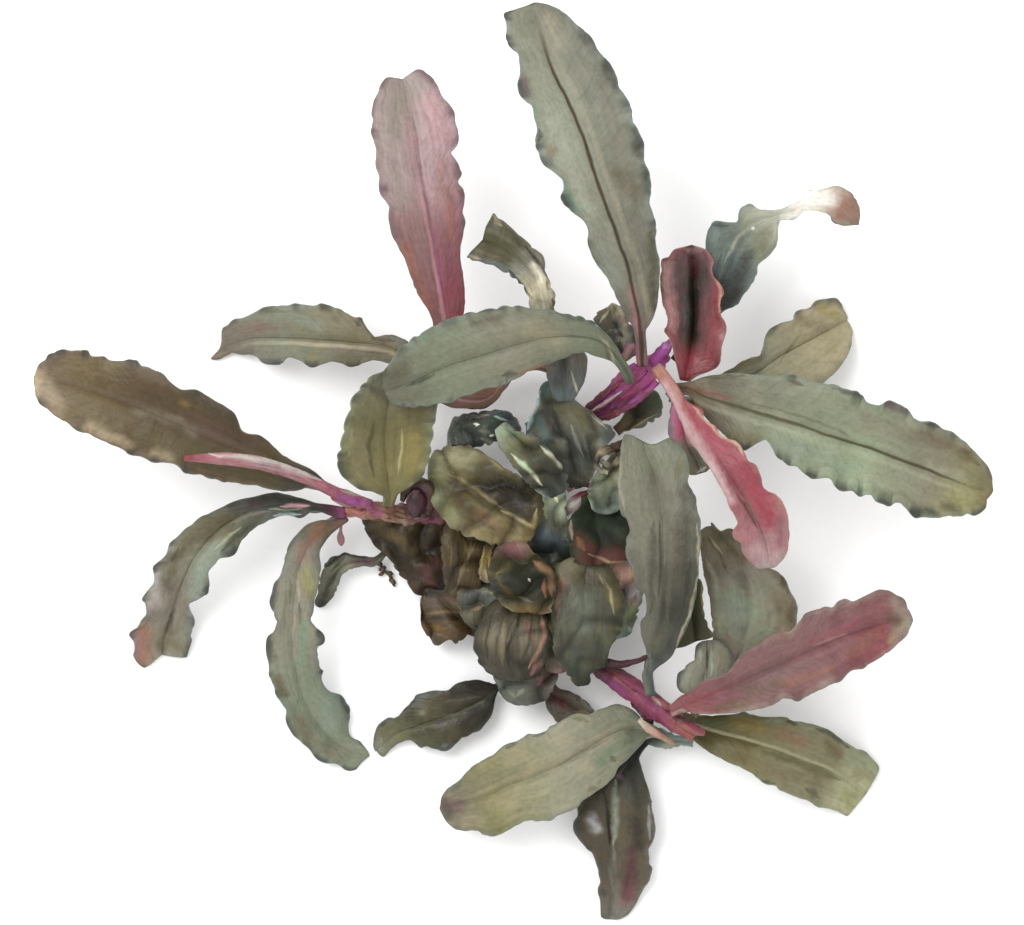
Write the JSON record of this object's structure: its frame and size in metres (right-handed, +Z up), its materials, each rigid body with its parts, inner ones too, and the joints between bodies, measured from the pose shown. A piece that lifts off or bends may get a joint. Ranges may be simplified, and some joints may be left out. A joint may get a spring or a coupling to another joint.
{
  "type": "bucephalandra plant",
  "caption": "Low rosette-forming aquarium plant lying flat: a creeping forked rhizome carrying long wavy-edged strap leaves in grey-green, brown and mauve.",
  "frame": {"origin": "on the surface that the plant lies on, under the middle of its outline", "axes": "+Z up from the surface; +X and +Y are right and up in the view from above, with the tallest leaf pointing along +Y"},
  "size_m": [0.1201, 0.1152, 0.027],
  "materials": {
    "green_leaf": "satin, finely veined",
    "olive_leaf": "satin",
    "brown_leaf": "satin, finely veined",
    "dark_leaf": "glossy",
    "pink_leaf": "satin, finely veined",
    "red_leaf": "satin",
    "rhizome": "waxy, ringed by leaf scars",
    "root": "matte"
  },
  "bodies": {
    "root": {"bud_left": "rhizome", "leaf_bottom_red": "red_leaf", "leaf_bottom_small": "dark_leaf", "leaf_centre_arching": "green_leaf", "leaf_centre_upright": "green_leaf", "leaf_left_arching": "green_leaf", "leaf_left_drooping": "green_leaf", "leaf_left_long": "brown_leaf", "leaf_left_olive": "olive_leaf", "leaf_left_rolled": "pink_leaf", "leaf_left_small": "dark_leaf", "leaf_left_upper": "green_leaf", "leaf_lower_cut": "olive_leaf", "leaf_lower_dark": "brown_leaf", "leaf_lower_hidden": "dark_leaf", "leaf_lower_mauve": "pink_leaf", "leaf_lower_pale": "olive_leaf", "leaf_old_between": "olive_leaf", "leaf_old_blue": "dark_leaf", "leaf_old_bluish": "dark_leaf", "leaf_old_brown": "brown_leaf", "leaf_old_centre": "dark_leaf", "leaf_old_folded": "olive_leaf", "leaf_old_glossy": "dark_leaf", "leaf_old_grey": "green_leaf", "leaf_old_hanging": "dark_leaf", "leaf_old_lowest": "green_leaf", "leaf_old_mauve": "pink_leaf", "leaf_old_orange_edged": "green_leaf", "leaf_old_red_edged": "dark_leaf", "leaf_old_round": "brown_leaf", "leaf_old_strip": "olive_leaf", "leaf_old_under": "dark_leaf", "leaf_old_upper": "dark_leaf", "leaf_old_veined": "olive_leaf", "leaf_old_yellow": "olive_leaf", "leaf_right_cupped": "red_leaf", "leaf_right_grey": "green_leaf", "leaf_right_long": "green_leaf", "leaf_right_mottled": "green_leaf", "leaf_right_rear": "olive_leaf", "leaf_right_red": "red_leaf", "leaf_right_shaded": "dark_leaf", "leaf_right_twisted": "dark_leaf", "leaf_right_under": "red_leaf", "leaf_top_bent": "brown_leaf", "leaf_top_curled": "dark_leaf", "leaf_top_pink": "pink_leaf", "leaf_top_tall": "green_leaf", "petiole_lower": "rhizome", "petiole_middle": "red_leaf", "rhizome_left": "rhizome", "rhizome_lower": "rhizome", "rhizome_middle": "rhizome", "rhizome_upper": "rhizome", "root_left": "root", "sheath_lower": "root", "withered_curl": "root"}
  },
  "joints": []
}
